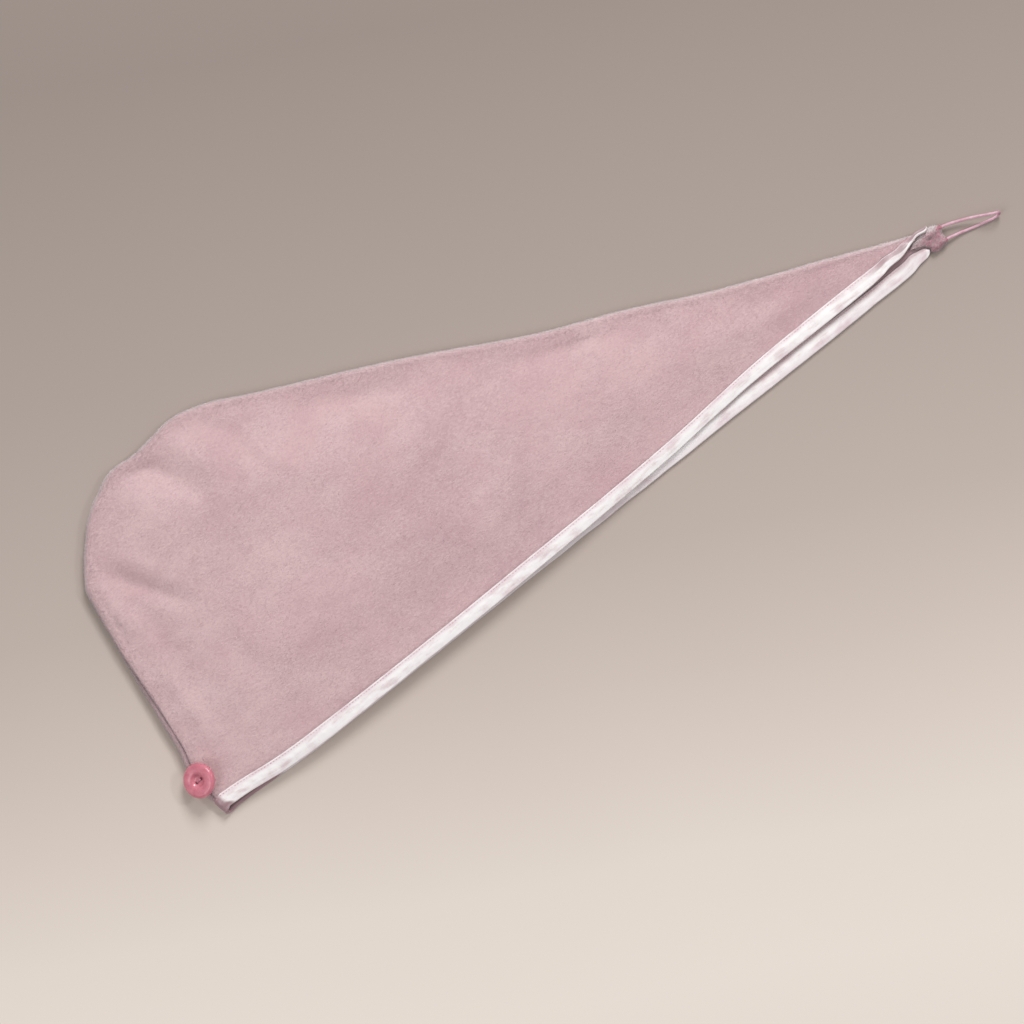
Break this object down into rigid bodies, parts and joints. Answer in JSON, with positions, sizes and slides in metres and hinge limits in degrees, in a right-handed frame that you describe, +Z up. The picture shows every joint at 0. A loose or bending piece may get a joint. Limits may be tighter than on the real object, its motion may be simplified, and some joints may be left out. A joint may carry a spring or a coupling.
{
  "type": "hair turban towel",
  "caption": "Plush terry hair turban lying flat: rounded hood tapering to a tail, satin-bound open edge, button at the nape and an elastic loop at the tail's end.",
  "frame": {"origin": "on the surface it lies on, under the middle of the towel without its loose elastic", "axes": "+X along the open edge from the nape to the tail, +Y from the open edge to the crown, +Z up off the lower ply"},
  "size_m": [0.7056, 0.2497, 0.0205],
  "materials": {
    "terry": "dusty pink plush towelling, matt and soft",
    "satin": "pale pink satin tape, soft sheen",
    "button_plastic": "glossy coral pink moulded button",
    "thread": "pink sewing thread",
    "elastic": "pink braided round elastic"
  },
  "bodies": {
    "root": {"front_panel": "terry", "back_panel": "terry", "satin_binding": "satin", "button": "button_plastic", "button_thread": "thread", "elastic_loop": "elastic"}
  },
  "joints": []
}
